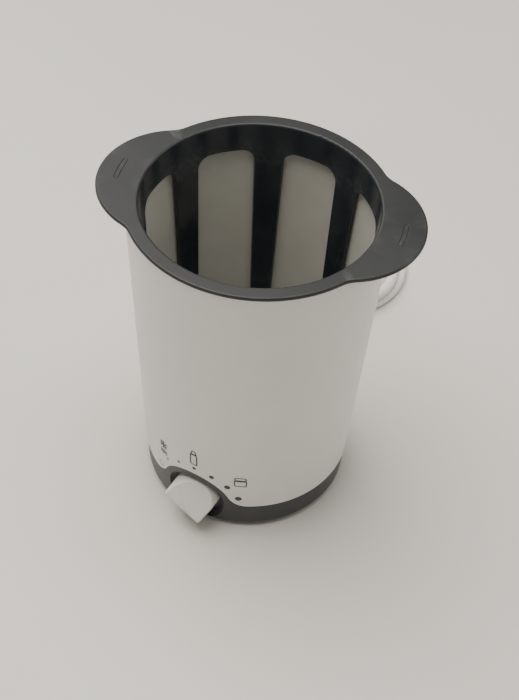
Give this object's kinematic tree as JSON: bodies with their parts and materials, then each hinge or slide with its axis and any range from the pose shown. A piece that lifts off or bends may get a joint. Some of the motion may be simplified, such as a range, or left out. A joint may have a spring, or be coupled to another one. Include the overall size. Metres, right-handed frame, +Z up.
{
  "type": "bottle warmer",
  "caption": "Round countertop bottle warmer with a ribbed lift-out basket, a white tapered housing, a rotary dial on a dark base and a mains cord.",
  "frame": {"origin": "middle of the footprint on the table, under the axis of the housing", "axes": "+Z up along the housing's axis; the control knob faces -Y and the cord leaves at +Y; +X is to the right seen from the front"},
  "size_m": [0.1522, 0.2566, 0.15],
  "materials": {
    "basket_black": "glossy moulded black",
    "white_shell": "semi-gloss white",
    "base_grey": "satin dark grey",
    "feet_rubber": "matte",
    "zinc_steel": "zinc plated",
    "tub_white": "satin",
    "heater_steel": "brushed",
    "silicone": "matte silicone",
    "bracket_steel": "pressed sheet",
    "heater_case": "satin",
    "board_green": "solder mask",
    "relay_blue": "moulded",
    "film_yellow": "moulded",
    "capacitor_black": "sleeve",
    "terminal_green": "moulded",
    "switch_black": "moulded",
    "knob_white": "semi-gloss white",
    "wire_brown": "insulation",
    "wire_white": "insulation",
    "cord_white": "soft PVC",
    "clamp_white": "moulded",
    "tie_white": "soft band",
    "plug_white": "moulded PVC",
    "pin_nickel": "nickel plated"
  },
  "bodies": {
    "warmer": {"housing_shell": "white_shell", "base_cover": "base_grey", "rubber_feet": "feet_rubber", "base_screws": "zinc_steel", "chamber_tub": "tub_white", "heater_plate": "heater_steel", "plate_seal": "silicone", "heater_bracket": "bracket_steel", "bracket_screws": "zinc_steel", "ptc_heater": "heater_case", "thermal_fuse": "heater_case", "temperature_sensor": "heater_steel", "heat_shield": "heater_case", "control_board": "board_green", "board_screws": "zinc_steel", "power_relay": "relay_blue", "film_capacitor": "film_yellow", "smoothing_capacitor": "capacitor_black", "terminal_block": "terminal_green", "rotary_switch": "switch_black", "switch_screws": "zinc_steel", "supply_wires": "wire_brown", "heater_wires": "wire_white", "sensor_wires": "wire_white", "switch_wires": "wire_brown", "inner_lead": "cord_white", "cord_clamp": "clamp_white", "clamp_screws": "zinc_steel", "strain_relief": "cord_white", "mains_cord": "cord_white", "cord_tail": "cord_white", "cord_coil": "cord_white", "cord_tie": "tie_white", "plug_body": "plug_white", "plug_pins": "pin_nickel"},
    "basket": {"basket": "basket_black"},
    "knob": {"control_knob": "knob_white", "knob_spindle": "heater_steel"}
  },
  "joints": [
    {"name": "basket_lift", "type": "slide", "parent": "warmer", "child": "basket", "axis": [0, 0, 1], "range_m": [0, 0.15]},
    {"name": "knob_turn", "type": "hinge", "parent": "warmer", "child": "knob", "pos_m": [0, -0.0475, 0.0141], "axis": [0, 1, 0], "range_deg": [-9, 131]}
  ]
}
